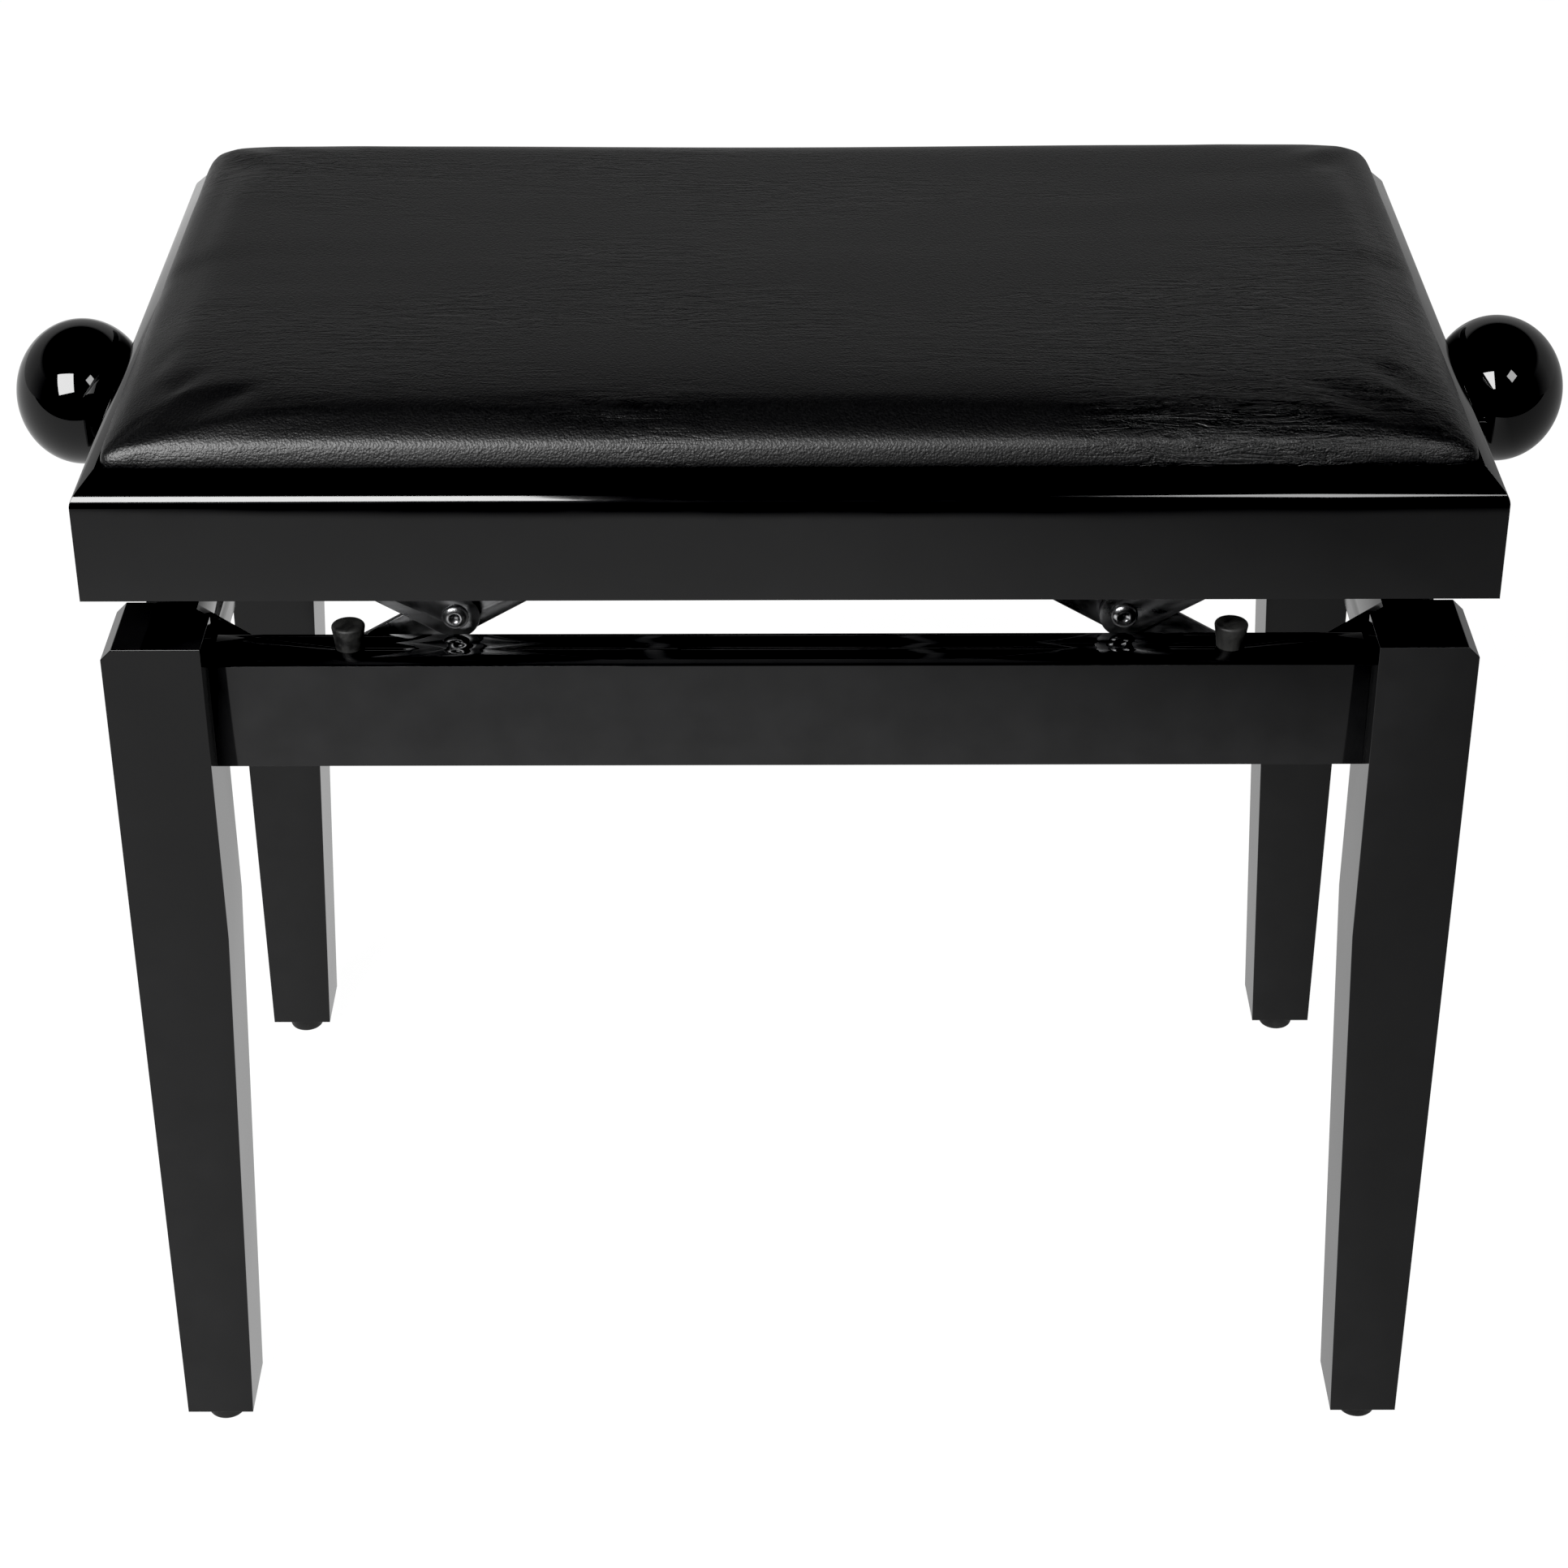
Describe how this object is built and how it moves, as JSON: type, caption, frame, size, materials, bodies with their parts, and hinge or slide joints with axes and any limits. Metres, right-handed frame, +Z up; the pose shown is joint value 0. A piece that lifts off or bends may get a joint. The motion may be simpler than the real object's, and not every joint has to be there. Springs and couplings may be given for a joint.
{
  "type": "piano bench",
  "caption": "height-adjustable padded bench on four tapered legs, with oval knobs that turn a spindle and scissor linkages that lift the seat",
  "frame": {"origin": "on the floor, below the middle of the seat", "axes": "+X to the player's right along the seat's length, +Y to the back, +Z up"},
  "size_m": [0.669, 0.337, 0.503],
  "materials": {
    "black_lacquer": "high-gloss black lacquer over wood",
    "black_leather": "satin black leatherette with a fine grain",
    "grey_steel": "zinc plated flat steel",
    "bright_steel": "turned bright steel",
    "rubber": "moulded black rubber",
    "bush_brass": "dark plated brass flange"
  },
  "bodies": {
    "leg_frame": {"leg_front_left": "black_lacquer", "leg_front_right": "black_lacquer", "leg_back_left": "black_lacquer", "leg_back_right": "black_lacquer", "apron_front": "black_lacquer", "apron_back": "black_lacquer", "apron_left": "black_lacquer", "apron_right": "black_lacquer", "corner_block_front_left": "black_lacquer", "corner_block_front_right": "black_lacquer", "corner_block_back_left": "black_lacquer", "corner_block_back_right": "black_lacquer", "leg_bolts": "bright_steel", "block_screws": "bright_steel", "leg_glides": "rubber", "rest_bumpers": "rubber", "base_rail_front": "grey_steel", "base_rail_back": "grey_steel", "base_rail_screws": "bright_steel", "lower_pivot_pins": "bright_steel"},
    "left_long_arms": {"long_arm_front_left": "grey_steel", "long_arm_back_left": "grey_steel", "mid_rod_left": "bright_steel"},
    "left_short_arms": {"short_arm_front_left": "grey_steel", "short_arm_back_left": "grey_steel"},
    "left_nut": {"nut_bar_left": "grey_steel", "nut_clips_left": "bright_steel"},
    "right_long_arms": {"long_arm_front_right": "grey_steel", "long_arm_back_right": "grey_steel", "mid_rod_right": "bright_steel"},
    "right_short_arms": {"short_arm_front_right": "grey_steel", "short_arm_back_right": "grey_steel"},
    "right_nut": {"nut_bar_right": "grey_steel", "nut_clips_right": "bright_steel"},
    "seat": {"rim_front": "black_lacquer", "rim_back": "black_lacquer", "rim_left": "black_lacquer", "rim_right": "black_lacquer", "seat_board": "black_lacquer", "board_screws": "bright_steel", "cushion": "black_leather", "seat_rail_front": "grey_steel", "seat_rail_back": "grey_steel", "seat_rail_screws": "bright_steel", "upper_pivot_pins": "bright_steel", "spindle_bush_left": "bush_brass", "spindle_bush_right": "bush_brass"},
    "turning_spindle": {"spindle": "bright_steel", "spindle_collar_left": "grey_steel", "spindle_collar_right": "grey_steel", "collar_screws": "bright_steel", "knob_left": "black_lacquer", "knob_right": "black_lacquer"}
  },
  "joints": [
    {"name": "lift", "type": "hinge", "parent": "leg_frame", "child": "left_long_arms", "pos_m": [-0.213, 0, 0.3555], "axis": [0, -1, 0], "range_deg": [-6, 30]},
    {"name": "left_mid_pivot", "type": "hinge", "parent": "left_long_arms", "child": "left_short_arms", "pos_m": [-0.13679, 0, 0.3995], "axis": [0, -1, 0], "range_deg": [-60, 12]},
    {"name": "left_upper_pivot", "type": "hinge", "parent": "left_short_arms", "child": "seat", "pos_m": [-0.213, 0, 0.4435], "axis": [0, -1, 0], "range_deg": [-6, 30]},
    {"name": "left_nut_pivot", "type": "hinge", "parent": "left_long_arms", "child": "left_nut", "pos_m": [-0.06058, 0, 0.4435], "axis": [0, -1, 0], "range_deg": [-30, 6]},
    {"name": "right_lower_pivot", "type": "hinge", "parent": "leg_frame", "child": "right_long_arms", "pos_m": [0.213, 0, 0.3555], "axis": [0, 1, 0], "range_deg": [-6, 30]},
    {"name": "right_mid_pivot", "type": "hinge", "parent": "right_long_arms", "child": "right_short_arms", "pos_m": [0.13679, 0, 0.3995], "axis": [0, 1, 0], "range_deg": [-60, 12]},
    {"name": "right_nut_pivot", "type": "hinge", "parent": "right_long_arms", "child": "right_nut", "pos_m": [0.06058, 0, 0.4435], "axis": [0, 1, 0], "range_deg": [-30, 6]},
    {"name": "spindle_turn", "type": "hinge", "parent": "seat", "child": "turning_spindle", "pos_m": [0, 0, 0.4435], "axis": [1, 0, 0], "range_deg": [-7320, 1470]}
  ],
  "couplings": [
    {"joint": "left_mid_pivot", "follows": "lift", "ratio": -2},
    {"joint": "left_upper_pivot", "follows": "lift", "ratio": 1},
    {"joint": "left_nut_pivot", "follows": "lift", "ratio": -1},
    {"joint": "right_lower_pivot", "follows": "lift", "ratio": 1},
    {"joint": "right_mid_pivot", "follows": "lift", "ratio": -2},
    {"joint": "right_nut_pivot", "follows": "lift", "ratio": -1},
    {"joint": "spindle_turn", "follows": "lift", "ratio": -242.61}
  ]
}
